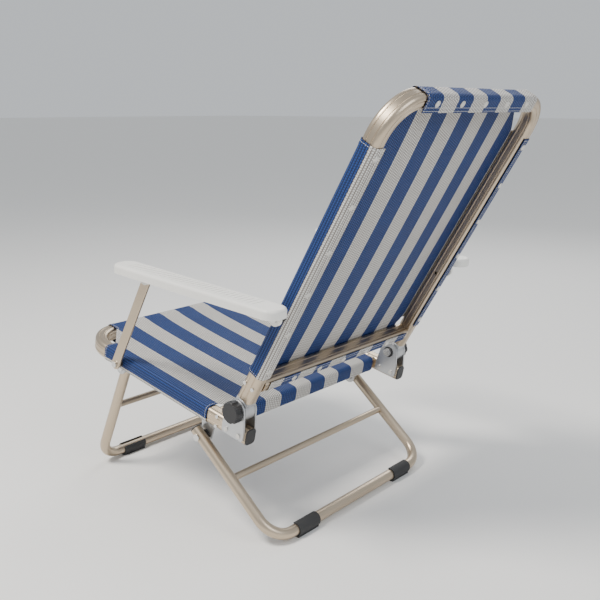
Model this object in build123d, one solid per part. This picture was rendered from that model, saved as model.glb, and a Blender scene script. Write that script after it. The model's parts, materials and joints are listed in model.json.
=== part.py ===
"""Folding beach armchair: two aluminium tube frames with wrapped sling fabric, hinged at the rear of the seat.

Millimetres. +Z up, the chair faces -Y, the sitter's left is +X. The origin is on the floor at the
centre of the chair's outline. Each frame is drawn flat (X across, Y along, Z out of its sitting
face) and then placed on its own plane.
"""
from build123d import *
from math import atan2, cos, degrees, pi, radians, sin
import os

# Frame tube: a ribbed, rounded rectangular extrusion
TUBE_W = 26.0            # across the tube, in the plane of its frame
TUBE_D = 32.0            # through the frame, front face to rear face
TUBE_R = 8.0             # outer corner radius
TUBE_WALL = 1.8
RIB_GROOVE = 1.0         # radius of the shallow grooves along each face
PLUG_CAP = 2.4           # thickness of the plugs in the seat tubes' rear ends
PLUG_L = 11.0
BEND_R = 66.0            # centre-line radius of the bent corners

# Frames
FRAME_WIDTH = 520.0      # outside width of the seat and back frames
SEAT_LENGTH = 470.0      # hinge axis to the outside of the front rail
BACK_LENGTH = 650.0      # hinge axis to the outside of the top rail
SEAT_SLOPE = 12.0        # degrees, front higher
BACK_RECLINE = 30.0      # degrees from the vertical
HINGE_HEIGHT = 250.0     # hinge axis above the floor
HINGE_RISE = 44.0        # hinge axis above the seat tubes' centre line
SEAT_BAR_AT = 45.0       # centre of the seat's rear bar, from the hinge axis
BACK_BAR_AT = 62.0       # centre of the back's lower bar, from the hinge axis

# Sling fabric, wrapped round the tubes
CLOTH = 1.2
CLOTH_GAP = 0.3
SLEEVE_PAST = 6.0        # end wraps run this far past the start of the bend
CORNER_CLEAR = 9.0       # side wraps stop this far short of the bend
FLAP_EDGE = 3.0          # rear flap stops this far short of the tube's inner edge

# Fasteners
RIVET_R = 2.0
RIVET_HEAD_R = 4.6
RIVET_HEAD_H = 1.6
PIN_GAP = 0.08           # radial clearance of every pivot
TOUCH_GAP = 0.4          # side clearance between pieces that turn on each other

# Main hinge
KNUCKLE_R = 22.0
FRICTION_WASHER = 1.0    # nominal washer between the knuckle and each cheek
CHEEK = 4.0
BOLT_R = 5.0
KNOB_R = 21.0
KNOB_T = 15.0

# Armrests and their struts
ARM_PIVOT_UP = 225.0     # armrest pivot, along the back from the hinge axis
STRUT_BACK = 140.0       # strut pivot behind the outside of the seat's front rail
ARM_WIDTH = 52.0
ARM_THICK = 17.0
ARM_RISE = 11.0          # underside of the pad above the pivot line
ARM_GAP = 16.0           # armrest's inner side out from the outside of the frames
WEB_T = 6.0
STRUT_T = 5.0
STRUT_W = 22.0
SMALL_BOLT_R = 3.0

# Legs: bent round tube
LEG_R = 11.0
LEG_WALL = 1.6
LEG_BEND_R = 48.0
FRONT_LEG_BACK = 110.0   # pivot behind the outside of the seat's front rail
FRONT_LEG_DOWN = 76.0    # pivot below the hinge axis, square to the seat
FRONT_LEG_GAP = 3.0      # side tube to its plate, inside the frame
FRONT_LEG_RAKE = 25.0    # degrees forward of straight down
REAR_LEG_AT = 90.0
REAR_LEG_DOWN = 102.0
REAR_LEG_GAP = 3.5       # side tube to the plane of the frame's inner side, under the seat tube
REAR_LEG_RAKE = 50.0     # degrees rearward of straight down
PLATE = 4.0
SLEEVE_T = 2.5           # wall of the plastic foot sleeves
SLEEVE_L = 60.0
SOLE_W = 17.0
SOLE_T = 1.5

half_w = FRAME_WIDTH / 2
side_x = half_w - TUBE_W / 2
inner_x = half_w - TUBE_W
rail_z = -HINGE_RISE
cloth_z = TUBE_D / 2 + CLOTH_GAP + CLOTH
wrap_x = half_w + CLOTH_GAP + CLOTH
plate_x = inner_x - PLATE
sleeve_end = TUBE_W / 2 + BEND_R - SLEEVE_PAST
corner_drop = TUBE_W / 2 + BEND_R + CORNER_CLEAR
knuckle_t = TUBE_W - 2 * FRICTION_WASHER
strut_at = SEAT_LENGTH - STRUT_BACK
front_leg_at = SEAT_LENGTH - FRONT_LEG_BACK
front_leg_x = plate_x - FRONT_LEG_GAP - LEG_R
rear_leg_x = inner_x + REAR_LEG_GAP + LEG_R
arm_x = half_w + ARM_GAP
slope = radians(SEAT_SLOPE)
lean = radians(BACK_RECLINE)

os.makedirs("parts", exist_ok=True)
made = {}


# ---- planes -------------------------------------------------------------------------------------
def side_point(forward, up):
    """World point of a place given as forward of and above the hinge axis."""
    return (0, -forward, HINGE_HEIGHT + up)


def seat_side(along, up):
    """The same for a place given along the seat and square to it."""
    return side_point(along * cos(slope) - up * sin(slope), along * sin(slope) + up * cos(slope))


def leaning(origin, degrees_back):
    """Plane whose Y runs up, leaning back by the angle, and whose Z faces forward."""
    a = radians(degrees_back)
    return Plane(origin=origin, x_dir=(1, 0, 0), z_dir=(0, -cos(a), sin(a)))


hinge = side_point(0, 0)
seat_plane = Plane(origin=hinge, x_dir=(1, 0, 0), z_dir=(0, sin(slope), cos(slope)))
back_plane = leaning(hinge, BACK_RECLINE)
strut_foot = seat_side(strut_at, rail_z)
arm_tilt = SEAT_SLOPE - degrees(atan2(HINGE_RISE, strut_at))
strut_plane = leaning(strut_foot, BACK_RECLINE)
arm_origin = (0, hinge[1] + ARM_PIVOT_UP * sin(lean), hinge[2] + ARM_PIVOT_UP * cos(lean))
arm_length = Vector(strut_at, rail_z, 0).length
arm_angle = radians(arm_tilt)
arm_plane = Plane(origin=arm_origin, x_dir=(1, 0, 0), z_dir=(0, sin(arm_angle), cos(arm_angle)))
front_pivot = seat_side(front_leg_at, -FRONT_LEG_DOWN)
rear_pivot = seat_side(REAR_LEG_AT, -REAR_LEG_DOWN)
front_leg_l = (front_pivot[2] - LEG_R) / cos(radians(FRONT_LEG_RAKE))
rear_leg_l = (rear_pivot[2] - LEG_R) / cos(radians(REAR_LEG_RAKE))


def place(plane, shape):
    return plane.location * shape


def keep(name, *shapes):
    made[name] = list(shapes)


def both_sides(name, plane, shape):
    """One piece drawn on the sitter's left, and its mirror image on the right."""
    left = place(plane, shape)
    keep(name + "_left", left)
    keep(name + "_right", mirror(left, about=Plane.YZ))


def rod(radius, x0, x1, y=0.0, z=0.0):
    """Cylinder along X between two distances from the middle of the chair."""
    return Pos((x0 + x1) / 2, y, z) * Rot(0, 90, 0) * Cylinder(radius, x1 - x0)


def block(x0, x1, y0, y1, z0, z1):
    return Pos((x0 + x1) / 2, (y0 + y1) / 2, (z0 + z1) / 2) * Box(x1 - x0, y1 - y0, z1 - z0)


# ---- frame tubes --------------------------------------------------------------------------------
def tube_section(shrink=0.0):
    """The ribbed outline, or the plain bore that is one wall smaller all round."""
    outline = RectangleRounded(TUBE_W - 2 * shrink, TUBE_D - 2 * shrink, TUBE_R - shrink)
    if shrink:
        return outline
    across = [(x, z) for z in (-TUBE_D / 2, TUBE_D / 2) for x in (-TUBE_W / 6, TUBE_W / 6)]
    deep = [(x, z) for x in (-TUBE_W / 2, TUBE_W / 2) for z in (-TUBE_D / 6, TUBE_D / 6)]
    for at in across + deep:
        outline -= Pos(*at) * Circle(RIB_GROOVE)
    return outline


def bent_frame(start, length):
    """U of tube: both legs start at the given distance from the hinge axis, the rail is at length."""
    far = length - TUBE_W / 2
    path = FilletPolyline((-side_x, start), (-side_x, far), (side_x, far), (side_x, start), radius=BEND_R)
    at = Plane(origin=(-side_x, start, 0), x_dir=(1, 0, 0), z_dir=(0, 1, 0))
    outer = sweep(at * tube_section(), path=path)
    bore = sweep(at * tube_section(TUBE_WALL), path=path)
    return outer - bore


def end_plug(end):
    """Moulded plug in the open end of a side tube; its cap covers the cut."""
    slack = 0.15
    insert = RectangleRounded(TUBE_W - 2 * TUBE_WALL - 2 * slack, TUBE_D - 2 * TUBE_WALL - 2 * slack,
                              TUBE_R - TUBE_WALL - slack)
    at = Plane(origin=(-side_x, end, 0), x_dir=(1, 0, 0), z_dir=(0, 1, 0))
    cap = extrude(at * RectangleRounded(TUBE_W - 1, TUBE_D - 1, TUBE_R - 0.5), amount=-PLUG_CAP)
    cap = fillet(cap.edges().group_by(Axis.Y)[0], PLUG_CAP / 2)
    return cap + extrude(at * insert, amount=PLUG_L)


def cross_bar(at):
    """Bar of the same tube between the side tubes."""
    section = Plane(origin=(-inner_x, at, 0), x_dir=(0, 1, 0), z_dir=(1, 0, 0))
    solid = extrude(section * tube_section(), amount=2 * inner_x)
    return solid - extrude(section * tube_section(TUBE_WALL), amount=2 * inner_x)


# ---- sling --------------------------------------------------------------------------------------
def wrap_section():
    """Cloth round three faces of a tube, open towards the inside of the frame."""
    reach = 2 * (CLOTH_GAP + CLOTH)
    ring = RectangleRounded(TUBE_W + reach, TUBE_D + reach, TUBE_R + reach / 2)
    ring -= RectangleRounded(TUBE_W + 2 * CLOTH_GAP, TUBE_D + 2 * CLOTH_GAP, TUBE_R + CLOTH_GAP)
    return ring - Pos(-TUBE_W / 2 + FLAP_EDGE - TUBE_W, -TUBE_D) * Rectangle(2 * TUBE_W, 3 * TUBE_D - TUBE_R)


def edge_wrap(a, b, outward):
    """Cloth round a straight stretch of tube from a to b; outward points away from the sling."""
    along = Vector(*outward).cross(Vector(0, 0, 1))
    start, end = Vector(*a), Vector(*b)
    if (end - start).dot(along) < 0:
        start, end = end, start
    return extrude(Plane(origin=start, x_dir=outward, z_dir=along) * wrap_section(), amount=(end - start).length)


def sling(bar_at, length):
    """Panel across the front faces, wrapped round the end rail, the cross bar and both side tubes."""
    rail = length - TUBE_W / 2
    sleeve_x = half_w - sleeve_end
    side_top = length - corner_drop
    side_low = bar_at + TUBE_W / 2 + 14
    bar_x = inner_x - 10
    low = bar_at
    outline = [
        (-sleeve_x, rail), (sleeve_x, rail), (sleeve_x, rail - TUBE_W / 2 - 4), (side_x - 2, side_top),
        (side_x, side_top), (side_x, side_low), (inner_x - 2, side_low), (bar_x, low + TUBE_W / 2 + 2),
        (bar_x, low), (-bar_x, low), (-bar_x, low + TUBE_W / 2 + 2), (-inner_x + 2, side_low),
        (-side_x, side_low), (-side_x, side_top), (-side_x + 2, side_top), (-sleeve_x, rail - TUBE_W / 2 - 4),
    ]
    panel = Pos(0, 0, cloth_z - CLOTH) * extrude(make_face(Polyline(*outline, close=True)), amount=CLOTH)
    whole = panel + edge_wrap((-sleeve_x, rail, 0), (sleeve_x, rail, 0), (0, 1, 0))
    whole += edge_wrap((-bar_x, low, 0), (bar_x, low, 0), (0, -1, 0))
    for s in (-1, 1):
        whole += edge_wrap((s * side_x, side_low, 0), (s * side_x, side_top, 0), (s, 0, 0))
    return whole


def rivet_places(bar_at, length, sides, ends):
    """Rivets on the rear faces: along both side tubes, the end rail and the cross bar."""
    low, high = bar_at + TUBE_W / 2 + 32, length - corner_drop - 18
    spots = [(s * side_x, low + (high - low) * i / (sides - 1)) for i in range(sides) for s in (-1, 1)]
    reach = half_w - sleeve_end - 34
    for y in (length - TUBE_W / 2, bar_at):
        spots += [(-reach + 2 * reach * i / (ends - 1), y) for i in range(ends)]
    return spots


def rivet(x, y):
    """Domed rivet through the flap of the sling into the rear face of the tube."""
    top = -cloth_z
    head = Pos(x, y, top - RIVET_HEAD_H / 2) * Cylinder(RIVET_HEAD_R, RIVET_HEAD_H)
    head = fillet(head.edges().group_by(Axis.Z)[0], RIVET_HEAD_H * 0.7)
    shank_l = CLOTH + CLOTH_GAP + TUBE_WALL + 1
    return head + Pos(x, y, top + shank_l / 2) * Cylinder(RIVET_R, shank_l)


def rivet_holes(spots):
    deep = TUBE_D / 2
    return [Pos(x, y, -deep) * Cylinder(RIVET_R + PIN_GAP, 2 * TUBE_R) for x, y in spots]


def bar_screws(at):
    """Two pan-head screws at each end of a cross bar, through the side tube's outer wall."""
    screws = []
    for s in (-1, 1):
        for z in (-TUBE_D / 3.2, TUBE_D / 3.2):
            head = rod(3.6, half_w, half_w + 2, at, z)
            shank = rod(1.8, half_w - 8, half_w, at, z)
            whole = head + shank
            screws.append(whole if s > 0 else mirror(whole, about=Plane.YZ))
    return screws


def screw_holes(at, radius=1.8 + PIN_GAP):
    return [rod(radius, x0, x0 + 13, at, z) for x0 in (-half_w - 4, half_w - 9)
            for z in (-TUBE_D / 3.2, TUBE_D / 3.2)]


def pivot_holes(radius, y, z, cut_cloth):
    """Holes through the outer walls of both side tubes, larger where they pass the cloth."""
    reach = 12 if cut_cloth else TUBE_W
    return [rod(radius, half_w - reach, half_w + 6, y, z), rod(radius, -half_w - 6, -half_w + reach, y, z)]


def make_frame(label, start, bar_at, length, plane, pivots, sides, ends):
    spots = rivet_places(bar_at, length, sides, ends)
    holes = rivet_holes(spots)
    tube = bent_frame(start, length) - holes - screw_holes(bar_at)
    for y, z in pivots:
        tube -= pivot_holes(SMALL_BOLT_R + PIN_GAP, y, z, False)
    cloth = sling(bar_at, length) - holes
    for y, z in pivots:
        cloth -= pivot_holes(9.0, y, z, True)
    keep(label + "_frame", place(plane, tube))
    keep(label + "_bar", place(plane, cross_bar(bar_at) - holes))
    keep(label + "_sling", place(plane, cloth))
    keep(label + "_rivets", *[place(plane, rivet(x, y)) for x, y in spots])
    keep(label + "_bar_screws", *[place(plane, s) for s in bar_screws(bar_at)])


# ---- main hinge ---------------------------------------------------------------------------------
KNUCKLE_PLUG = 30.0      # how far the knuckle's plug reaches into the back tube
TUBE_START = 27.0        # back tube starts this far up from the hinge axis
CHEEK_FRONT = 27.0
CHEEK_REAR = 27.0


def knuckle():
    """Round boss on the hinge axis with a plug that fills the bore of the back tube."""
    boss = rod(KNUCKLE_R, side_x - knuckle_t / 2, side_x + knuckle_t / 2)
    neck = block(side_x - knuckle_t / 2, side_x + knuckle_t / 2, 0, TUBE_START, -TUBE_D / 2 + 2, TUBE_D / 2 - 2)
    slack = 0.15
    plug = extrude(Plane(origin=(side_x, TUBE_START, 0), x_dir=(1, 0, 0), z_dir=(0, 1, 0))
                   * RectangleRounded(TUBE_W - 2 * TUBE_WALL - 2 * slack, TUBE_D - 2 * TUBE_WALL - 2 * slack,
                                      TUBE_R - TUBE_WALL - slack), amount=KNUCKLE_PLUG)
    return boss + neck + plug - rod(BOLT_R + PIN_GAP, side_x - knuckle_t, side_x + knuckle_t)


def cheek_plate(x0):
    """Clevis cheek beside the seat tube, rising to the hinge axis; drawn in the seat's plane."""
    pts = [(CHEEK_REAR, rail_z - 9), (-CHEEK_FRONT, rail_z - 9), (-CHEEK_FRONT, rail_z + 12)]
    pts += [(-KNUCKLE_R * 0.95, 6), (KNUCKLE_R * 0.95, 6), (CHEEK_REAR, rail_z + 12)]
    flat = make_face(Polyline(*[(y, z) for y, z in pts], close=True))
    plate = extrude(Plane.YZ * flat, amount=CHEEK)
    plate = fillet(plate.edges().filter_by(Axis.X), 6)
    whole = Pos(x0, 0, 0) * plate + rod(KNUCKLE_R, x0, x0 + CHEEK)
    whole -= rod(BOLT_R + PIN_GAP, x0 - 1, x0 + CHEEK + 1)
    return whole


cheek_in = inner_x - CHEEK - 0.1
cheek_out = half_w + 0.1
CHEEK_RIVETS = [(-16.0, rail_z), (16.0, rail_z)]


def clevis():
    """Inner and outer cheeks of one hinge, drilled for their rivets."""
    holes = [rod(RIVET_R + PIN_GAP, cheek_in - 1, cheek_out + CHEEK + 1, y, z) for y, z in CHEEK_RIVETS]
    return [cheek_plate(cheek_in) - holes, cheek_plate(cheek_out) - holes]


def cheek_rivet(y, z):
    """Rivet right through both cheeks and the seat tube."""
    outer, inner = cheek_out + CHEEK, cheek_in
    return (rod(RIVET_R, inner, outer, y, z) + rod(RIVET_HEAD_R, outer, outer + 2, y, z)
            + rod(RIVET_HEAD_R, inner - 2, inner, y, z))


def hinge_bolt():
    """Bolt on the hinge axis: head inside the frame, threaded end under the knob."""
    head = rod(9.0, cheek_in - 7.5, cheek_in - 1.5)
    return head + rod(BOLT_R, cheek_in - 1.5, cheek_out + CHEEK + 12)


def washer(x0, thick, bore, outer, y=0.0, z=0.0):
    return rod(outer, x0, x0 + thick, y, z) - rod(bore, x0 - 1, x0 + thick + 1, y, z)


def hinge_washers():
    """Friction washers between the knuckle and its cheeks, and one under the bolt's head."""
    low, high = side_x - knuckle_t / 2, side_x + knuckle_t / 2
    bore = BOLT_R + PIN_GAP
    return [washer(cheek_in + CHEEK + 0.05, low - cheek_in - CHEEK - 0.1, bore, 17),
            washer(high + 0.05, cheek_out - high - 0.1, bore, 17),
            washer(cheek_in - 1.45, 1.4, bore, 12)]


def knob():
    """Fluted hand knob that clamps the hinge."""
    x0 = cheek_out + CHEEK + TOUCH_GAP
    body = rod(KNOB_R, x0, x0 + KNOB_T)
    body = fillet(body.edges().filter_by(GeomType.CIRCLE).group_by(Axis.X)[-1], 4)
    for i in range(8):
        a = 2 * pi * i / 8
        y, z = (KNOB_R + 4) * cos(a), (KNOB_R + 4) * sin(a)
        body -= rod(7.0, x0 - 1, x0 + KNOB_T + 1, y, z)
    return body - rod(BOLT_R + PIN_GAP, x0 - 1, cheek_out + CHEEK + 12.5)


# ---- armrests -----------------------------------------------------------------------------------
ARM_REAR = 34.0          # pad behind its rear pivot
ARM_FRONT = 46.0         # pad ahead of its front pivot


def armrest():
    """Moulded pad with a web on its inner side that carries both pivots; Y runs rearward."""
    x0, x1 = arm_x, arm_x + ARM_WIDTH
    front, rear = -arm_length - ARM_FRONT, ARM_REAR
    mid = (x0 + x1) / 2
    pad = block(x0, x1, front, rear, ARM_RISE, ARM_RISE + ARM_THICK)
    pad = fillet(pad.edges().filter_by(Axis.Z), 22)
    pad = fillet(pad.edges().group_by(Axis.Z)[-1], 6)
    web = block(x0, x0 + WEB_T, -arm_length, 0, 0, ARM_RISE + 4)
    hollow = block(x0 + WEB_T + 3, x1 - 5, front + 26, rear - 22, ARM_RISE - 1, ARM_RISE + ARM_THICK - 6)
    whole = pad + web - hollow
    for i in range(5):
        y = front + 26 + (rear - 22 - front - 26) * (i + 1) / 6
        whole += block(mid - ARM_WIDTH / 2 + WEB_T, mid + ARM_WIDTH / 2 - 4, y - 1.5, y + 1.5,
                       ARM_RISE + 2, ARM_RISE + ARM_THICK - 5)
    for y in (0, -arm_length):
        whole += rod(13.0, x0, x0 + WEB_T, y, 0)
        whole -= rod(SMALL_BOLT_R + PIN_GAP, x0 - 1, x0 + WEB_T + 1, y, 0)
    return whole


def strut():
    """Flat bar from the seat tube to the front of the armrest."""
    x0 = arm_x - TOUCH_GAP - STRUT_T
    bar = block(x0, x0 + STRUT_T, 0, ARM_PIVOT_UP, -STRUT_W / 2, STRUT_W / 2)
    bar += rod(STRUT_W / 2, x0, x0 + STRUT_T) + rod(STRUT_W / 2, x0, x0 + STRUT_T, ARM_PIVOT_UP)
    bar = fillet(bar.edges().filter_by(Axis.Y), 1.2)
    for y in (0, ARM_PIVOT_UP):
        bar -= rod(SMALL_BOLT_R + PIN_GAP, x0 - 1, x0 + STRUT_T + 1, y)
    return bar


strut_x = arm_x - TOUCH_GAP - STRUT_T


def arm_rear_bolt():
    """Shoulder bolt from the armrest's web into the back tube."""
    outer = arm_x + WEB_T + TOUCH_GAP
    return rod(SMALL_BOLT_R, half_w - 6, outer) + rod(7, outer, outer + 4)


def arm_rear_spacer():
    return washer(half_w + 0.1, arm_x - TOUCH_GAP - half_w - 0.1, SMALL_BOLT_R + PIN_GAP, 8.5)


def arm_front_bolt():
    outer = arm_x + WEB_T + TOUCH_GAP
    inner = strut_x - TOUCH_GAP
    return rod(SMALL_BOLT_R, inner, outer) + rod(7, outer, outer + 4) + rod(6, inner - 3, inner)


def strut_bolt():
    outer = strut_x + STRUT_T + TOUCH_GAP
    return rod(SMALL_BOLT_R, half_w - 6, outer) + rod(6.5, outer, outer + 3)


def strut_spacer():
    return washer(half_w + 0.1, strut_x - TOUCH_GAP - half_w - 0.1, SMALL_BOLT_R + PIN_GAP, 8.5)


# ---- legs ---------------------------------------------------------------------------------------
LEG_PIN_R = 4.0
LEG_TOP = 17.0           # tube above its pivot


def leg_tube(x, length):
    """U of round tube: two sides up to the pivots and a straight bar on the floor."""
    path = FilletPolyline((-x, LEG_TOP), (-x, -length), (x, -length), (x, LEG_TOP), radius=LEG_BEND_R)
    at = Plane(origin=(-x, LEG_TOP, 0), z_dir=(0, -1, 0))
    tube = sweep(at * Circle(LEG_R), path=path) - sweep(at * Circle(LEG_R - LEG_WALL), path=path)
    for s in (-1, 1):
        tube -= rod(LEG_PIN_R + PIN_GAP, s * x - LEG_R - 1, s * x + LEG_R + 1)
    return tube


def leg_stay(x, length, share):
    """Thinner bar across the leg, its ends hollowed to sit on the side tubes."""
    y = -length * share
    stay = rod(7.0, -x, x, y) - rod(5.8, -x - 1, x + 1, y)
    for s in (-1, 1):
        stay -= Pos(s * x, y, 0) * Rot(90, 0, 0) * Cylinder(LEG_R, 4 * LEG_R)
    return stay


def leg_cap(x):
    """Domed plastic cap over the open end of a side tube."""
    cap = Pos(x, LEG_TOP + 1.5, 0) * Rot(90, 0, 0) * Cylinder(LEG_R, 3)
    cap = fillet(cap.edges().group_by(Axis.Y)[-1], 2)
    return cap + Pos(x, LEG_TOP - 2.5, 0) * Rot(90, 0, 0) * Cylinder(LEG_R - LEG_WALL - 0.1, 5)


def foot_sleeve(x, length, lean_back):
    """Split sleeve clipped on the floor bar, open along its upper side, with a flat sole."""
    x0, x1 = x - LEG_BEND_R - 12 - SLEEVE_L, x - LEG_BEND_R - 12
    bore = LEG_R + 0.1
    sole = block(x0, x1, -bore - SLEEVE_T - SOLE_T, -bore / 2, -SOLE_W / 2, SOLE_W / 2)
    sleeve = rod(bore + SLEEVE_T, x0, x1, -length) + Pos(0, -length, 0) * Rot(lean_back, 0, 0) * sole
    sleeve -= rod(bore, x0 - 1, x1 + 1, -length)
    return sleeve - block(x0 - 1, x1 + 1, -length, -length + 2 * LEG_R, -6, 6)


def leg_plate(along, down, head):
    """Plate on the inner side of the seat tube that carries a leg's pivot; drawn in the seat's plane."""
    y0 = -along
    top = rail_z + 10
    flat = make_face(Polyline((y0 - head, top), (y0 + head, top), (y0 + 13, -down - 4), (y0 - 13, -down - 4),
                              close=True))
    plate = extrude(Plane(origin=(plate_x - 0.1, 0, 0), x_dir=(0, 1, 0), z_dir=(1, 0, 0)) * flat, amount=PLATE)
    plate += rod(14.0, plate_x - 0.1, inner_x - 0.1, y0, -down)
    plate -= rod(LEG_PIN_R + PIN_GAP, plate_x - 2, inner_x + 2, y0, -down)
    for y in (y0 - head + 9, y0 + head - 9):
        plate -= rod(RIVET_R + PIN_GAP, plate_x - 2, inner_x + 2, y, rail_z)
    return plate


def plate_rivet(y):
    x0 = plate_x - 0.1
    return rod(RIVET_R, x0, inner_x + 5, y, rail_z) + rod(RIVET_HEAD_R, x0 - 2, x0, y, rail_z)


def leg_pin(x, outside):
    """Rivet pin through a leg's side tube and its plate, with a washer face between them."""
    if outside:
        a, b = plate_x - 3.6, x + LEG_R + 0.3
    else:
        a, b = x - LEG_R - 0.3, inner_x + 0.3
    return rod(LEG_PIN_R, a, b) + rod(7, a - 2.5, a) + rod(7, b, b + 2.5)


def leg_washer(x, outside):
    bore = LEG_PIN_R + PIN_GAP
    if outside:
        return washer(inner_x + 0.1, x - LEG_R - inner_x - 0.4, bore, 9)
    return washer(x + LEG_R + 0.2, plate_x - x - LEG_R - 0.4, bore, 9)


def make_leg(label, x, length, lean_back, pivot, outside):
    plane = leaning(pivot, lean_back)
    stay_share = 0.42
    keep(label + "_leg", place(plane, leg_tube(x, length)))
    keep(label + "_leg_stay", place(plane, leg_stay(x, length, stay_share)))
    both_sides(label + "_leg_cap", plane, leg_cap(x))
    both_sides(label + "_foot_sleeve", plane, foot_sleeve(x, length, lean_back))
    for kind, piece in (("pins", leg_pin(x, outside)), ("washers", leg_washer(x, outside))):
        keep(label + "_leg_" + kind, place(plane, piece), mirror(place(plane, piece), about=Plane.YZ))


# ---- the chair ----------------------------------------------------------------------------------
SEAT_START = -30.0       # seat tubes reach this far behind the hinge axis
seat_flat = Plane(origin=seat_side(0, rail_z), x_dir=(-1, 0, 0), z_dir=seat_plane.z_dir)
PLATE_HEAD = 24.0

make_frame("back", TUBE_START, BACK_BAR_AT, BACK_LENGTH, back_plane, [(ARM_PIVOT_UP, 0)], 6, 5)
make_frame("seat", SEAT_START, SEAT_BAR_AT, SEAT_LENGTH, seat_flat, [(strut_at, 0)], 5, 5)

seat_holes = [rod(RIVET_R + PIN_GAP, s * side_x - TUBE_W, s * side_x + TUBE_W, y, z)
              for s in (-1, 1) for y, z in CHEEK_RIVETS]
for along in (front_leg_at, REAR_LEG_AT):
    for y in (-along - PLATE_HEAD + 9, -along + PLATE_HEAD - 9):
        seat_holes += [rod(RIVET_R + PIN_GAP, inner_x - 3, inner_x + 6, y, rail_z),
                       rod(RIVET_R + PIN_GAP, -inner_x - 6, -inner_x + 3, y, rail_z)]
made["seat_frame"] = [made["seat_frame"][0] - [place(seat_plane, h) for h in seat_holes]]

for i, side in enumerate(("left", "right")):
    pair = [place(seat_plane, c) for c in clevis()]
    washers = [place(back_plane, w) for w in hinge_washers()]
    if side == "right":
        pair = [mirror(c, about=Plane.YZ) for c in pair]
        washers = [mirror(w, about=Plane.YZ) for w in washers]
    keep("hinge_cheeks_" + side, *pair)
    keep("hinge_washers_" + side, *washers)
both_sides("hinge_knuckle", back_plane, knuckle())
both_sides("hinge_bolt", back_plane, hinge_bolt())
both_sides("hinge_knob", back_plane, knob())
left_rivets = [place(seat_plane, cheek_rivet(y, z)) for y, z in CHEEK_RIVETS]
for along in (front_leg_at, REAR_LEG_AT):
    left_rivets += [place(seat_plane, plate_rivet(y)) for y in
                    (-along - PLATE_HEAD + 9, -along + PLATE_HEAD - 9)]
keep("bracket_rivets", *left_rivets, *[mirror(r, about=Plane.YZ) for r in left_rivets])
both_sides("seat_end_plug", seat_flat, end_plug(SEAT_START))
both_sides("front_leg_plate", seat_plane, leg_plate(front_leg_at, FRONT_LEG_DOWN, PLATE_HEAD))
both_sides("rear_leg_plate", seat_plane, leg_plate(REAR_LEG_AT, REAR_LEG_DOWN, PLATE_HEAD))

both_sides("armrest", arm_plane, armrest())
both_sides("arm_rear_bolt", arm_plane, arm_rear_bolt())
both_sides("arm_spacer", arm_plane, arm_rear_spacer())
both_sides("arm_front_bolt", strut_plane, Pos(0, ARM_PIVOT_UP, 0) * arm_front_bolt())
both_sides("strut", strut_plane, strut())
both_sides("strut_bolt", strut_plane, strut_bolt())
both_sides("strut_spacer", strut_plane, strut_spacer())

make_leg("front", front_leg_x, front_leg_l, FRONT_LEG_RAKE, front_pivot, False)
make_leg("rear", rear_leg_x, rear_leg_l, -REAR_LEG_RAKE, rear_pivot, True)

# The origin goes to the middle of the outline on the floor
whole_box = Compound(children=[s for shapes in made.values() for s in shapes]).bounding_box()
shift = Vector(0, -(whole_box.min.Y + whole_box.max.Y) / 2, -whole_box.min.Z)
for name, shapes in made.items():
    solids = [s for shape in shapes for s in shape.solids()]
    export_step(Compound(children=[Pos(*shift) * s for s in solids]), "parts/" + name + ".step")

for label, point in (("hinge", hinge), ("strut", strut_foot), ("arm_rear", arm_origin), ("front_leg", front_pivot),
                     ("rear_leg", rear_pivot)):
    print(label, "axis at", [round(c, 3) for c in Vector(*point) + shift])
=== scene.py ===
import json
from math import atan2, cos, pi, radians, sin

import bmesh
import bpy
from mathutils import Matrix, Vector


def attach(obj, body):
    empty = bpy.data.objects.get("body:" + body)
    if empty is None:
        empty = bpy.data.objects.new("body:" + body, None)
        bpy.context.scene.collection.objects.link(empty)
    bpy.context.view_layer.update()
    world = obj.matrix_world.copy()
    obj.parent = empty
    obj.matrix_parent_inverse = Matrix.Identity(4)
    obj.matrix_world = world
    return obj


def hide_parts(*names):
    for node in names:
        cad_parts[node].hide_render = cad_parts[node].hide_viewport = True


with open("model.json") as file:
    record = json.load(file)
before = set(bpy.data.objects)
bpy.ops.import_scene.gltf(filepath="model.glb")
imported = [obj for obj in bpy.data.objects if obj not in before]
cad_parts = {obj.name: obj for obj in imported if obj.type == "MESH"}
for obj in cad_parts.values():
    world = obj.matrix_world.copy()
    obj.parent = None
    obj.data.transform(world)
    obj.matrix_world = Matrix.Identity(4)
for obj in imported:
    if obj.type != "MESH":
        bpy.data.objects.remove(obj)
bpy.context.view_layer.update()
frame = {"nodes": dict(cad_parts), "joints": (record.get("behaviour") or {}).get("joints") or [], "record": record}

# Sizes of the chair, in metres
FRAME_W = 0.520                     # outside width of both frames
TUBE_W, TUBE_D, TUBE_R = 0.026, 0.032, 0.008
BACK_LENGTH, SEAT_LENGTH = 0.650, 0.470
BACK_BAR_AT, SEAT_BAR_AT = 0.062, 0.045    # middle of each cross bar, along its frame
LEAN, SLOPE = radians(30), radians(12)
HINGE_RISE = 0.044                  # hinge axis above the seat tubes
SIDE_X = FRAME_W / 2 - TUBE_W / 2   # middle of a side tube
BEND = TUBE_W / 2 - TUBE_R          # from a tube's middle to where its face turns the corner

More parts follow.
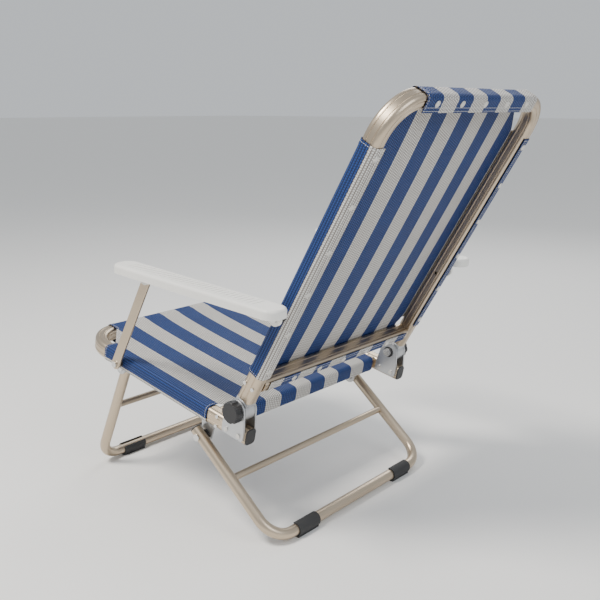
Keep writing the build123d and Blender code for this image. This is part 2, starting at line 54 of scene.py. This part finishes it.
# The slings
STRIPE = 0.187 / 4                  # width of one stripe
RIB, YARN = STRIPE / 9, 0.0042      # width of a rib, and length of its crossing yarns
CLOTH_OFF = 0.0008                  # middle of the cloth above the tube
CLOTH_T = 0.0010
SAG = 0.007                         # hollow in the middle of each panel
FLAP, RAIL_FLAP = 0.0172, 0.0202    # cloth along a tube's rear face, and along the end rail's
SLEEVE_X = 0.187                    # half width of the flap over the end rail
SLEEVE_FOOT = 0.017                 # where that flap begins, below the rail's middle
CORNER_IN = 0.012                   # the corner's cut ends this far inside the side tube's middle
SIDE_FROM_BAR, SIDE_FROM_END = 0.014, 0.088    # ends of the side flaps
BAR_GAP, BAR_STEP, BAR_FOOT = 0.012, 0.010, 0.014    # cut beside the bar's flap
HEM, HEM_RISE = 0.011, 0.0006       # width of the folded hems, and how far they stand up
COARSE, FINE = 0.007, 0.0016        # grid steps on the panel, and round tubes and hems
SEAM_IN, CUT_SEAM_IN = 0.003, 0.0035    # seams in from a flap's end and from a cut edge
SEAM_STEP, SEAM_UP = 0.0015, 0.0008     # points along a seam, and thread above the cloth
RIVET_IN = 0.018                    # end rivets in from a side flap's ends
RAIL_RIVET_IN = 0.034               # end rivets in from the end rail flap's ends
WASHER_UP = 0.0004                  # middle of a cup washer off the cloth

# The armrests' grips
ARM_MID, ARM_TOP = 0.302, 0.028     # middle of the pad, and its top above the pivots' line
GRIP_FROM, GRIP_PITCH, GRIP_COUNT = 0.020, 0.011, 30

hinge_at = {j["name"]: Vector(j["pos_m"]) for j in frame["joints"] if "pos_m" in j}
HINGE = hinge_at["back_fold"]


def shown(name, data):
    """A new object of this mesh, curve, lamp or camera, in the scene."""
    made = bpy.data.objects.new(name, data)
    bpy.context.scene.collection.objects.link(made)
    return made


# ---- shader maths ----------------------------------------------------------------------------
class Wire:
    """A shader value: arithmetic on it adds Math nodes to its finish."""

    def __init__(self, finish, socket):
        self.finish, self.socket = finish, socket

    def op(self, name, *others):
        values = [self if o is None else o for o in others] or [self]
        return self.finish.node("ShaderNodeMath", {"operation": name}, values)

    def __add__(self, o): return self.op("ADD", None, o)
    def __radd__(self, o): return self.op("ADD", o, None)
    def __sub__(self, o): return self.op("SUBTRACT", None, o)
    def __rsub__(self, o): return self.op("SUBTRACT", o, None)
    def __mul__(self, o): return self.op("MULTIPLY", None, o)
    def __rmul__(self, o): return self.op("MULTIPLY", o, None)
    def __truediv__(self, o): return self.op("DIVIDE", None, o)
    def __gt__(self, o): return self.op("GREATER_THAN", None, o)
    def __lt__(self, o): return self.op("LESS_THAN", None, o)
    def floor(self): return self.op("FLOOR")
    def fract(self): return self.op("FRACT")
    def sine(self): return self.op("SINE")
    def parity(self): return (self * 0.5).fract() * 2


class Finish:
    """One material: every node comes from node()."""

    def __init__(self, name, **shader):
        self.material = bpy.data.materials.new(name)
        self.material.use_nodes = True
        self.tree = self.material.node_tree
        self.tree.nodes.clear()
        self.out = self.tree.nodes.new("ShaderNodeOutputMaterial")
        self.shader = self.tree.nodes.new("ShaderNodeBsdfPrincipled")
        self.tree.links.new(self.shader.outputs[0], self.out.inputs[0])
        self.set(**shader)

    def feed(self, socket, value):
        if isinstance(value, Wire):
            self.tree.links.new(value.socket, socket)
        elif value is not None:
            if socket.type == "RGBA" and len(value) == 3:
                value = (*value, 1)
            socket.default_value = value

    def node(self, kind, settings=None, values=(), out=0):
        made = self.tree.nodes.new(kind)
        for key, value in (settings or {}).items():
            setattr(made, key, value)
        pairs = values.items() if isinstance(values, dict) else enumerate(values)
        for key, value in pairs:
            self.feed(made.inputs[key], value)
        return Wire(self, made.outputs[out])

    def set(self, **shader):
        for key, value in shader.items():
            label = key.replace("_", " ").title().replace("Ior", "IOR")
            self.feed(self.shader.inputs[label], value)
        return self

    def place(self, source="Object"):
        """The three coordinates of a point, on the object or on its UV map, and all as one."""
        where = self.node("ShaderNodeTexCoord", out=source)
        split = self.node("ShaderNodeSeparateXYZ", values=[where])
        return [Wire(self, s) for s in split.socket.node.outputs], where

    def mix(self, factor, a, b):
        return self.node("ShaderNodeMix", {"data_type": "RGBA"}, {0: factor, 6: a, 7: b}, out=2)

    def noise(self, where, scale, detail=3, stretch=(1, 1, 1)):
        moved = self.node("ShaderNodeMapping", values={"Vector": where, "Scale": stretch})
        return self.node("ShaderNodeTexNoise", values={
            "Vector": moved, "Scale": scale, "Detail": detail})

    def step(self, value, low, high):
        return self.node("ShaderNodeMapRange", {"interpolation_type": "SMOOTHSTEP"},
                         [value, low, high, 0, 1])

    def bump(self, height, depth, strength=1.0):
        return self.set(normal=self.node("ShaderNodeBump", values={
            "Height": height, "Distance": depth, "Strength": strength}))


def sling_cloth():
    """Coated mesh: equal stripes along the cloth, each of nine ribs of short crossing yarns."""
    f = Finish("sling_mesh", specular_ior_level=0.35)
    (u, v, _), where = f.place("UV")
    column, row = u / RIB, v / YARN
    across = (column.fract() * pi).sine()
    stagger = column.floor().parity() * 0.5
    along = ((row + stagger).fract() * pi).sine()
    yarn = f.step(across, 0.25, 0.75) * f.step(along, 0.12, 0.55)
    fringe = (row.floor().parity() - 0.5) * 0.0007
    white = ((u + fringe) / STRIPE).floor().parity() < 0.5
    tone = f.noise(where, 22, 4)
    pale = f.mix(tone, (0.60, 0.59, 0.565), (0.76, 0.75, 0.73))
    blue = f.mix(tone, (0.009, 0.036, 0.165), (0.015, 0.058, 0.240))
    lit = f.mix(white, blue, pale)
    # Between the yarns the cloth is painted dark: painted shade in the mesh's holes, darker than the yarns beside
    # them.
    painted_gap_shade = f.mix(white, (0.004, 0.012, 0.050), (0.20, 0.175, 0.155))
    f.set(base_color=f.mix(yarn, painted_gap_shade, lit), roughness=0.52 + 0.22 * (1 - yarn))
    f.bump(yarn, 0.0006)
    return f.material


def thread():
    f = Finish("sewing_thread", specular_ior_level=0.3)
    _, where = f.place()
    tone = f.noise(where, 700)
    f.set(base_color=f.mix(tone, (0.60, 0.59, 0.56), (0.80, 0.79, 0.76)), roughness=0.7)
    return f.material


def anodised(name, rough=0.24):
    """Champagne anodising: a satin metal with faint streaks and a little wear."""
    f = Finish(name, metallic=1.0)
    _, where = f.place()
    streak = f.noise(where, 900, 2, (1, 0.03, 0.03))
    cloud = f.noise(where, 7, 4)
    tint = f.mix(cloud, (0.50, 0.405, 0.295), (0.60, 0.50, 0.385))
    f.set(base_color=tint, roughness=rough + 0.10 * cloud + 0.06 * streak)
    f.bump(streak, 0.00003, 0.5)
    return f.material


def plated(name, colour, rough=0.28):
    f = Finish(name, metallic=1.0)
    _, where = f.place()
    cloud = f.noise(where, 60, 5)
    low = tuple(0.82 * c for c in colour)
    f.set(base_color=f.mix(cloud, low, colour), roughness=rough + 0.18 * cloud)
    return f.material


def moulded(name, colour, rough, grain, depth):
    """Plastic or rubber with a fine moulded grain."""
    f = Finish(name, specular_ior_level=0.45)
    _, where = f.place()
    speck = f.noise(where, grain, 4)
    low = tuple(0.90 * c for c in colour)
    f.set(base_color=f.mix(f.noise(where, 14, 3), low, colour), roughness=rough + 0.12 * speck)
    f.bump(speck, depth, 0.6)
    return f.material


finishes = {
    "tube": anodised("champagne_tube"),
    "leg_tube": anodised("champagne_leg", 0.27),
    "strut": anodised("champagne_strut", 0.30),
    "bracket": plated("zinc_bracket", (0.60, 0.61, 0.62), 0.34),
    "sling": sling_cloth(),
    "moulded_arm": moulded("white_resin", (0.84, 0.83, 0.79), 0.34, 1500, 0.00008),
    "plastic": moulded("black_nylon", (0.022, 0.022, 0.024), 0.42, 1200, 0.00006),
    "foot": moulded("foot_rubber", (0.030, 0.030, 0.031), 0.62, 900, 0.0001),
    "rivet": plated("rivet_aluminium", (0.74, 0.72, 0.68), 0.30),
    "fastener": plated("bright_screws", (0.72, 0.72, 0.71), 0.18),
}
for part in frame["record"]["subparts"]:
    node = frame["nodes"][part["node"]]
    node.data.materials.clear()
    node.data.materials.append(finishes[part["material_slot"]])


# ---- slings ----------------------------------------------------------------------------------
def round_tube(beyond):
    """Where the cloth lies, this far past the start of the tube's outer front corner.

    Gives the distance outward from the tube's middle and the height off the frame's plane. The
    path runs over the corner, down the outer side, over the next corner and along the rear face.
    """
    r = TUBE_R + CLOTH_OFF
    quarter, side = r * pi / 2, TUBE_D - 2 * TUBE_R
    top, mid = TUBE_D / 2 + CLOTH_OFF, TUBE_D / 2 - TUBE_R
    if beyond <= 0:
        return BEND + beyond, top
    if beyond <= quarter:
        a = beyond / r
        return BEND + r * sin(a), mid + r * cos(a)
    beyond -= quarter
    if beyond <= side:
        return BEND + r, mid - beyond
    beyond -= side
    if beyond <= quarter:
        a = beyond / r
        return BEND + r * cos(a), -mid - r * sin(a)
    beyond -= quarter
    return BEND - beyond, -top


WRAP = (TUBE_R + CLOTH_OFF) * pi + TUBE_D - 2 * TUBE_R


def sides(outline):
    """Each corner of a closed outline with the next one."""
    return zip(outline, outline[1:] + outline[:1])


def inside(p, outline):
    hit = False
    for (x0, y0), (x1, y1) in sides(outline):
        if (y0 > p.y) != (y1 > p.y) and p.x < (x1 - x0) * (p.y - y0) / (y1 - y0) + x0:
            hit = not hit
    return hit


def area_of(outline):
    return abs(sum(x0 * y1 - x1 * y0 for (x0, y0), (x1, y1) in sides(outline))) / 2


class Sling:
    """One sling: a flat pattern in (across, along), and where its points lie on the frame."""

    def __init__(self, name, origin, right, up, out, bar, length, side_rivets):
        self.name, self.body, self.node = name + "_sling_cloth", name + "_body", name + "_sling"
        self.tubes = [name + "_frame", name + "_bar"]
        self.origin, self.right, self.up, self.out = origin, right, up, out
        self.side_rivets = side_rivets
        self.rail_at, self.bar_at = length - TUBE_W / 2, bar
        self.side_low, self.side_top = bar + TUBE_W / 2 + SIDE_FROM_BAR, length - SIDE_FROM_END
        self.side_end = SIDE_X + BEND + WRAP + FLAP
        self.rail_end = self.rail_at + BEND + WRAP + RAIL_FLAP
        self.bar_end = bar - BEND - WRAP - FLAP
        self.bar_x = FRAME_W / 2 - TUBE_W - BAR_GAP

    def outline(self):
        half = [(SLEEVE_X, self.rail_end), (SLEEVE_X, self.rail_at - SLEEVE_FOOT),
                (SIDE_X - CORNER_IN, self.side_top), (self.side_end, self.side_top),
                (self.side_end, self.side_low), (self.bar_x + BAR_STEP, self.side_low),
                (self.bar_x, self.bar_at + BAR_FOOT), (self.bar_x, self.bar_end)]
        return half + [(-s, t) for s, t in reversed(half)]

    def at(self, s, t, lift=0.0):
        """Where a point of the pattern lies on the chair, lifted off the cloth."""
        def flat(s, t):
            x, y, z = s, t, TUBE_D / 2 + CLOTH_OFF
            if abs(s) > SIDE_X + BEND:
                reach, z = round_tube(abs(s) - SIDE_X - BEND)
                x = (SIDE_X + reach) * (1 if s > 0 else -1)
            elif t > self.rail_at + BEND:
                reach, z = round_tube(t - self.rail_at - BEND)
                y = self.rail_at + reach
            elif t < self.bar_at - BEND:
                reach, z = round_tube(self.bar_at - BEND - t)
                y = self.bar_at - reach
            else:
                inner = SIDE_X - TUBE_W / 2
                low, high = self.bar_at + TUBE_W / 2, self.rail_at - TUBE_W / 2
                a = max(0.0, 1 - (s / inner) ** 2)
                b = max(0.0, 1 - ((2 * t - low - high) / (high - low)) ** 2)
                z -= SAG * a * b ** 0.6
            return Vector((x, y, z))
        p = flat(s, t)
        if lift:
            e = 0.0004
            over, along = flat(s + e, t) - flat(s - e, t), flat(s, t + e) - flat(s, t - e)
            p = p + over.cross(along).normalized() * lift
        return self.origin + self.right * p.x + self.up * p.y + self.out * p.z

    def hem_lift(self, s, t):
        """Hems are folded under, so the cloth stands a little higher near each free edge."""
        edge = min(self.side_end - abs(s), self.rail_end - t, t - self.bar_end)
        if abs(s) > self.bar_x + BAR_STEP:
            edge = min(edge, self.side_top - t, t - self.side_low)
        elif t > self.side_top or t < self.side_low:
            if t > self.rail_at - SLEEVE_FOOT:
                edge = min(edge, SLEEVE_X - abs(s))
            elif t < self.bar_at:
                edge = min(edge, self.bar_x - abs(s))
        ramp = 0.0015
        return HEM_RISE * min(1.0, max(0.0, (HEM + 0.001 - edge) / ramp))

    def lines(self, low, high, fine):
        """Rows of the grid: coarse, but close together in the stretches named in fine."""
        at, rows = low, [low]
        while at < high - 1e-6:
            step = FINE if any(a - 1e-6 <= at <= b for a, b in fine) else COARSE
            nearest = min([a for a, _ in fine if a > at + 1e-6] + [high])
            at = min(at + step, nearest, high)
            rows.append(at)
        return rows

    def build(self):
        bend = (SIDE_X + BEND - 0.001, SIDE_X + BEND + WRAP + 0.001)
        right = self.lines(0, self.side_end, [bend, (self.side_end - HEM - 0.003, self.side_end),
                                              (SLEEVE_X - HEM - 0.002, SLEEVE_X)])
        across = [-s for s in reversed(right[1:])] + right
        along = self.lines(self.bar_end, self.rail_end, [
            (self.bar_end, self.bar_at - BEND + 0.001),
            (self.side_low, self.side_low + HEM + 0.002),
            (self.side_top - HEM - 0.002, self.side_top),
            (self.rail_at + BEND - 0.001, self.rail_end)])
        bm = bmesh.new()
        grid = [[bm.verts.new((s, t, 0)) for s in across] for t in along]
        for low, high in zip(grid, grid[1:]):
            for i in range(len(across) - 1):
                bm.faces.new((low[i], low[i + 1], high[i + 1], high[i]))
        outline = self.outline()
        for (s0, t0), (s1, t1) in sides(outline):
            every = bm.verts[:] + bm.edges[:] + bm.faces[:]
            bmesh.ops.bisect_plane(bm, geom=every, dist=1e-5, plane_co=(s0, t0, 0),
                                   plane_no=(t1 - t0, s0 - s1, 0))
        away = [f for f in bm.faces if not inside(f.calc_center_median(), outline)]
        bmesh.ops.delete(bm, geom=away, context="FACES")
        uv = bm.loops.layers.uv.new("cloth")
        for face in bm.faces:
            for loop in face.loops:
                loop[uv].uv = (loop.vert.co.x * self.right.x, loop.vert.co.y)
        for vert in bm.verts:
            s, t, _ = vert.co
            vert.co = self.at(s, t, self.hem_lift(s, t))
        mesh = bpy.data.meshes.new(self.name)
        bm.to_mesh(mesh)
        bm.free()
        mesh.shade_smooth()
        piece = shown(self.name, mesh)
        mesh.materials.append(finishes["sling"])
        wall = piece.modifiers.new("cloth_thickness", "SOLIDIFY")
        wall.thickness, wall.offset = CLOTH_T, 0
        return piece

    def rivet_points(self):
        """The rivets' places on the rear faces: along the side tubes, the end rail and the bar."""
        low, high = self.side_low + RIVET_IN, self.side_top - RIVET_IN
        spots = [(k * SIDE_X, low + (high - low) * i / (self.side_rivets - 1))
                 for i in range(self.side_rivets) for k in (-1, 1)]
        reach = SLEEVE_X - RAIL_RIVET_IN
        spots += [(reach * (i / 2 - 1), t) for t in (self.rail_at, self.bar_at) for i in range(5)]
        down = -(TUBE_D / 2 + CLOTH_OFF + CLOTH_T / 2 + WASHER_UP)
        return [self.origin + self.right * s + self.up * t + self.out * down for s, t in spots]

    def stitch_lines(self):
        """Seams in the pattern: two rows along each flap's hem and one along each cut edge."""
        rows = []
        sleeve, bar = SLEEVE_X - SEAM_IN, self.bar_x - SEAM_IN
        for inset in (SEAM_IN, HEM - 0.002):
            rail_t, bar_t = self.rail_end - inset, self.bar_end + inset
            rows += [[(-sleeve, rail_t), (sleeve, rail_t)], [(-bar, bar_t), (bar, bar_t)]]
            for s in (inset - self.side_end, self.side_end - inset):
                rows.append([(s, self.side_low + SEAM_IN), (s, self.side_top - SEAM_IN)])
        foot, corner = self.rail_at - SLEEVE_FOOT, SIDE_X - CORNER_IN - 0.002
        top, low = self.side_top - CUT_SEAM_IN, self.side_low + CUT_SEAM_IN
        for k in (-1, 1):
            s, side = k * (SLEEVE_X - CUT_SEAM_IN), k * (self.side_end - SEAM_IN)
            rows += [[(s, foot - 0.001), (s, self.rail_end - SEAM_IN)],
                     [(s, foot - 0.002), (k * corner, top)],
                     [(k * corner, top), (side, top)],
                     [(k * self.bar_x, low), (side, low)]]
        return rows


slings = [
    Sling("back", HINGE, right=Vector((1, 0, 0)), up=Vector((0, sin(LEAN), cos(LEAN))),
          out=Vector((0, -cos(LEAN), sin(LEAN))),
          bar=BACK_BAR_AT, length=BACK_LENGTH, side_rivets=6),
    Sling("seat", HINGE - HINGE_RISE * Vector((0, sin(SLOPE), cos(SLOPE))),
          right=Vector((-1, 0, 0)), up=Vector((0, -cos(SLOPE), sin(SLOPE))),
          out=Vector((0, sin(SLOPE), cos(SLOPE))),
          bar=SEAT_BAR_AT, length=SEAT_LENGTH, side_rivets=5),
]


# ---- stitches, cup washers and grip ribs -----------------------------------------------------
def new_tree(name, **sizes):
    """A Geometry Nodes tree with named sizes, the function that adds nodes, and its inputs."""
    tree = bpy.data.node_groups.new(name, "GeometryNodeTree")
    tree.interface.new_socket("Guide", in_out="INPUT", socket_type="NodeSocketGeometry")
    for label, value in sizes.items():
        socket = tree.interface.new_socket(
            label.replace("_", " "), in_out="INPUT", socket_type="NodeSocketFloat")
        socket.default_value = value
    tree.interface.new_socket("Result", in_out="OUTPUT", socket_type="NodeSocketGeometry")

    def add(kind, settings=None, **links):
        made = tree.nodes.new(kind)
        for key, value in (settings or {}).items():
            setattr(made, key, value)
        for key, value in links.items():
            socket = made.inputs[key.replace("_", " ")]
            if hasattr(value, "links"):
                tree.links.new(value, socket)
            else:
                socket.default_value = value
        return made

    return tree, add, tree.nodes.new("NodeGroupInput").outputs


def close_tree(tree, add, instances, material):
    """Every tree ends in real geometry with its material set."""
    real = add("GeometryNodeRealizeInstances", Geometry=instances)
    done = add("GeometryNodeSetMaterial", Geometry=real.outputs[0], Material=material)
    tree.links.new(done.outputs[0], tree.nodes.new("NodeGroupOutput").inputs[0])
    return tree


def grip_tree(material):
    """Low rounded ribs across an armrest's top, one at every vertex of the guide."""
    tree, add, given = new_tree("grip_ribs", Half_width=0.0165, Half_thickness=0.0014,
                                Height=0.0011)
    bead = add("GeometryNodeMeshUVSphere", Segments=14, Rings=8, Radius=1.0)
    size = add("ShaderNodeCombineXYZ", X=given["Half width"], Y=given["Half thickness"],
               Z=given["Height"])
    laid = add("GeometryNodeInstanceOnPoints", Points=given["Guide"], Instance=bead.outputs["Mesh"],
               Scale=size.outputs[0])
    return close_tree(tree, add, laid.outputs["Instances"], material)


def washer_tree(material):
    """A cup washer round every rivet, turned about X to face out of its frame."""
    tree, add, given = new_tree("cup_washers", Tilt=0.0, Ring_radius=0.0053, Ring_thickness=0.0009)
    ring = add("GeometryNodeCurvePrimitiveCircle", Resolution=20, Radius=given["Ring radius"])
    section = add("GeometryNodeCurvePrimitiveCircle", Resolution=8, Radius=given["Ring thickness"])
    body = add("GeometryNodeCurveToMesh", Curve=ring.outputs[0], Profile_Curve=section.outputs[0])
    turn = add("ShaderNodeCombineXYZ", X=given["Tilt"])
    laid = add("GeometryNodeInstanceOnPoints", Points=given["Guide"], Instance=body.outputs["Mesh"],
               Rotation=turn.outputs[0])
    return close_tree(tree, add, laid.outputs["Instances"], material)


def stitch_tree(material):
    """Short rounded stitches laid end to end along every curve."""
    tree, add, given = new_tree("stitch_rows", Pitch=0.0042, Stitch_length=0.0030,
                                Thread_radius=0.00042)
    points = add("GeometryNodeCurveToPoints", {"mode": "LENGTH"}, Curve=given["Guide"],
                 Length=given["Pitch"])
    bead = add("GeometryNodeMeshUVSphere", Segments=6, Rings=5, Radius=1.0)
    half = add("ShaderNodeMath", {"operation": "MULTIPLY"}, Value=given["Stitch length"])
    half.inputs[1].default_value = 0.5
    size = add("ShaderNodeCombineXYZ", X=given["Thread radius"], Y=given["Thread radius"],
               Z=half.outputs[0])
    laid = add("GeometryNodeInstanceOnPoints", Points=points.outputs["Points"],
               Instance=bead.outputs["Mesh"], Rotation=points.outputs["Rotation"],
               Scale=size.outputs[0])
    return close_tree(tree, add, laid.outputs["Instances"], material)


def curves_of(name, rows):
    data = bpy.data.curves.new(name, "CURVE")
    data.dimensions = "3D"
    for row in rows:
        line = data.splines.new("POLY")
        line.points.add(len(row) - 1)
        for point, place in zip(line.points, row):
            point.co = (*place, 1)
    return shown(name, data)


def points_of(name, places):
    data = bpy.data.meshes.new(name)
    data.from_pydata(places, [], [])
    return shown(name, data)


def grown(source, tree, name, **sizes):
    """Runs a tree on an object and keeps the result as a plain mesh of its own."""
    mod = source.modifiers.new(name, "NODES")
    mod.node_group = tree
    for item in tree.interface.items_tree:
        if item.in_out == "INPUT" and item.name in sizes:
            mod[item.identifier] = sizes[item.name]
    bpy.context.view_layer.update()
    ready = source.evaluated_get(bpy.context.evaluated_depsgraph_get())
    mesh = bpy.data.meshes.new_from_object(ready)
    mesh.name = name
    made = shown(name, mesh)
    bpy.data.objects.remove(source)
    mesh.shade_smooth()
    return made


stitches, washers = stitch_tree(thread()), washer_tree(finishes["rivet"])
for sling in slings:
    cloth = sling.build()
    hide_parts(sling.node)
    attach(cloth, sling.body)
    rows = []
    for a, b in sling.stitch_lines():
        count = max(2, int((Vector(b) - Vector(a)).length / SEAM_STEP))
        steps = [Vector(a).lerp(Vector(b), i / count) for i in range(count + 1)]
        rows.append([sling.at(s, t, CLOTH_T / 2 + SEAM_UP) for s, t in steps])
    seams = grown(curves_of(sling.name + "_rows", rows), stitches, sling.name + "_stitches")
    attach(seams, sling.body)
    cups = grown(points_of(sling.name + "_cups", sling.rivet_points()), washers,
                 sling.name + "_cup_washers", Tilt=atan2(-sling.out.y, sling.out.z))
    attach(cups, sling.body)
    area_of(sling.outline())


# ---- armrest grips ---------------------------------------------------------------------------
grips = grip_tree(finishes["moulded_arm"])
line = hinge_at["strut_swing_left"] - HINGE
forward = Vector((0, line.y, line.z)).normalized()
upward = Vector((0, forward.z, -forward.y))
for side, k in (("left", 1), ("right", -1)):
    pivot = hinge_at["armrest_swing_" + side]
    middle = pivot + Vector((k * ARM_MID, 0, 0)) + upward * ARM_TOP
    places = [middle + forward * (GRIP_FROM + GRIP_PITCH * i) for i in range(GRIP_COUNT)]
    guide = points_of("grip_guide_" + side, places)
    ribs = grown(guide, grips, "armrest_grip_" + side)
    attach(ribs, "armrest_body_" + side)


# ---- studio ----------------------------------------------------------------------------------
def around(azimuth, elevation, distance):
    """From a point to a place round it; azimuth 0 is in front of the chair, 90 at its left."""
    a, e = radians(azimuth), radians(elevation)
    return distance * Vector((sin(a) * cos(e), -cos(a) * cos(e), sin(e)))


def turn_to(made, aim):
    made.rotation_euler = (aim - made.location).to_track_quat("-Z", "Y").to_euler()


def ground():
    mesh = bpy.data.meshes.new("studio_floor")
    mesh.from_pydata([(-60, -60, 0), (60, -60, 0), (60, 60, 0), (-60, 60, 0)], [], [(0, 1, 2, 3)])
    made = shown("studio_floor", mesh)
    f = Finish("pale_floor", base_color=(0.86, 0.85, 0.83), roughness=0.85)
    mesh.materials.append(f.material)


def lamp(name, azimuth, elevation, distance, size, power, colour=(1, 1, 1)):
    """A soft area lamp aimed at the chair."""
    data = bpy.data.lights.new(name, "AREA")
    data.shape, data.size, data.energy, data.color = "DISK", size, power, colour
    made, middle = shown(name, data), Vector((0, 0, 0.4))
    made.location = middle + around(azimuth, elevation, distance)
    turn_to(made, middle)


ground()
lamp("key", 70, 55, 3.2, 1.1, 120, (1.0, 0.96, 0.90))
lamp("rear_fill", 175, 32, 3.4, 2.0, 30, (0.93, 0.96, 1.0))
lamp("side_fill", 290, 35, 3.4, 2.0, 30)
world = bpy.data.worlds.new("studio")
bpy.context.scene.world = world
world.use_nodes = True
world.node_tree.nodes["Background"].inputs[0].default_value = (0.88, 0.92, 0.96, 1)
world.node_tree.nodes["Background"].inputs[1].default_value = 0.72

camera_data = bpy.data.cameras.new("camera")
camera_data.lens = 50
camera, aim = shown("camera", camera_data), Vector((0, 0.01, 0.405))
camera.location = aim + around(130, 13, 1.72)
turn_to(camera, aim)
bpy.context.scene.camera = camera
